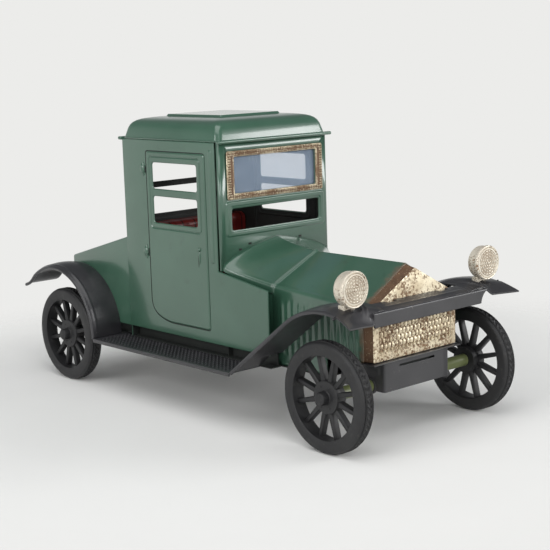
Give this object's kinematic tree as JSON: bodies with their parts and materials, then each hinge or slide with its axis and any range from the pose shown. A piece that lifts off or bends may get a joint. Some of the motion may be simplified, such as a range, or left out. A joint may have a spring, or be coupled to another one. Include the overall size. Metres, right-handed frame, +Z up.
{
  "type": "friction tin car",
  "caption": "Toy veteran coupe of pressed tinplate with spoked wheels on two axles, a flywheel friction motor on the rear axle, headlights and running boards.",
  "frame": {"origin": "on the ground below the middle of the car's length and width", "axes": "+X is forward, out of the radiator; +Y is the car's left; +Z is up; both axles lie along Y"},
  "size_m": [0.1994, 0.0854, 0.11],
  "materials": {
    "body_green": "glossy sage green enamel on tinplate",
    "fender_black": "semi-gloss black enamel on tinplate",
    "nickel": "yellowed nickel plating speckled with brown rust",
    "pane": "clear plastic sheet with a faint blue tint",
    "seat_red": "printed dark red tinplate",
    "steel": "plain steel",
    "gear_brass": "stamped brass",
    "sleeve_olive": "olive green lacquer",
    "wheel_black": "moulded black plastic with a dull sheen"
  },
  "bodies": {
    "body": {"base_plate": "fender_black", "front_apron": "fender_black", "running_board_right": "fender_black", "running_board_left": "fender_black", "front_fender_bridge": "fender_black", "rear_fender_right": "fender_black", "rear_fender_left": "fender_black", "cab_side_right": "body_green", "cab_side_left": "body_green", "cab_back": "body_green", "windscreen_panel": "body_green", "windscreen_frame": "nickel", "windscreen_pane": "pane", "cowl": "body_green", "hood": "body_green", "radiator_shell": "nickel", "roof": "body_green", "rear_deck": "body_green", "seat": "seat_red", "headlight_shell_right": "nickel", "headlight_shell_left": "nickel", "headlight_lens_right": "nickel", "headlight_lens_left": "nickel", "motor_plate_right": "steel", "motor_plate_left": "steel", "motor_posts": "steel"},
    "front_wheels": {"front_axle": "steel", "front_sleeve_right": "sleeve_olive", "front_sleeve_left": "sleeve_olive", "wheel_front_right": "wheel_black", "wheel_front_left": "wheel_black"},
    "rear_wheels": {"rear_axle": "steel", "wheel_rear_right": "wheel_black", "wheel_rear_left": "wheel_black", "axle_gear": "gear_brass"},
    "layshaft": {"layshaft": "steel", "layshaft_pinion": "gear_brass", "layshaft_gear": "gear_brass"},
    "flywheel": {"flywheel_shaft": "steel", "flywheel_pinion": "gear_brass", "flywheel": "steel"}
  },
  "joints": [
    {"name": "front_wheels_spin", "type": "hinge", "parent": "body", "child": "front_wheels", "pos_m": [0.0805, 0, 0.01925], "axis": [0, 1, 0], "continuous": true},
    {"name": "rear_wheels_spin", "type": "hinge", "parent": "body", "child": "rear_wheels", "pos_m": [-0.0735, 0, 0.01925], "axis": [0, 1, 0], "continuous": true},
    {"name": "layshaft_spin", "type": "hinge", "parent": "body", "child": "layshaft", "pos_m": [-0.06501, 0, 0.02774], "axis": [0, 1, 0], "continuous": true},
    {"name": "flywheel_spin", "type": "hinge", "parent": "body", "child": "flywheel", "pos_m": [-0.05342, 0, 0.02463], "axis": [0, 1, 0], "continuous": true}
  ],
  "couplings": [
    {"joint": "rear_wheels_spin", "follows": "flywheel_spin", "ratio": 0.11111},
    {"joint": "layshaft_spin", "follows": "flywheel_spin", "ratio": -0.33333}
  ]
}
